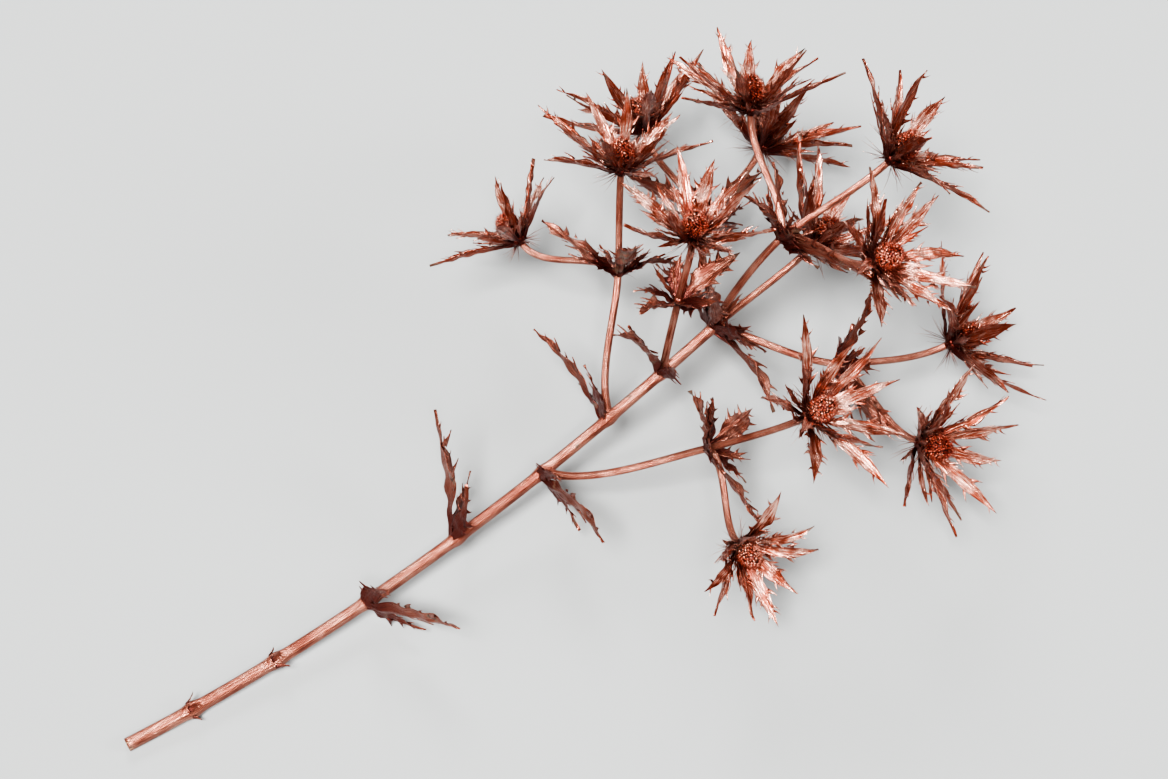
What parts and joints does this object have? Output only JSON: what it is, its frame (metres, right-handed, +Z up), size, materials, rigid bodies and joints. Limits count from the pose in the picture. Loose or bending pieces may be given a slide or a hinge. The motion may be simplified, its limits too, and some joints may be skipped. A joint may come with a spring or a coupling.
{
  "type": "sea holly stem",
  "caption": "Cut sea holly stem, dried and painted metallic copper: a lying, forked, leafy stem with spiny star-shaped bract ruffs round egg-shaped cones.",
  "frame": {"origin": "on the surface the stem lies on, under the centre of its bounding box", "axes": "+Y from the cut end towards the flower heads, +Z up from the surface, +X to the right seen from the cut end"},
  "size_m": [0.3237, 0.5118, 0.1929],
  "materials": {
    "stem": "satin",
    "bracts": "satin",
    "florets": "satin"
  },
  "bodies": {
    "root": {"head_left_front_bracts": "bracts", "head_left_front_cone": "florets", "head_left_side_bracts": "bracts", "head_left_side_cone": "florets", "head_low_left_front_bracts": "bracts", "head_low_left_front_cone": "florets", "head_low_left_side_bracts": "bracts", "head_low_left_side_cone": "florets", "head_low_right_front_bracts": "bracts", "head_low_right_front_cone": "florets", "head_low_right_side_bracts": "bracts", "head_low_right_side_cone": "florets", "head_middle_bracts": "bracts", "head_middle_cone": "florets", "head_right_front_bracts": "bracts", "head_right_front_cone": "florets", "head_right_side_bracts": "bracts", "head_right_side_cone": "florets", "head_terminal_bracts": "bracts", "head_terminal_cone": "florets", "head_upper_front_bracts": "bracts", "head_upper_front_cone": "florets", "head_upper_left_bracts": "bracts", "head_upper_left_cone": "florets", "head_upper_right_bracts": "bracts", "head_upper_right_cone": "florets", "left_branch": "stem", "low_left_branch": "stem", "low_right_branch": "stem", "main_stem": "stem", "middle_branch": "stem", "right_branch": "stem", "upper_branch": "stem"}
  },
  "joints": []
}
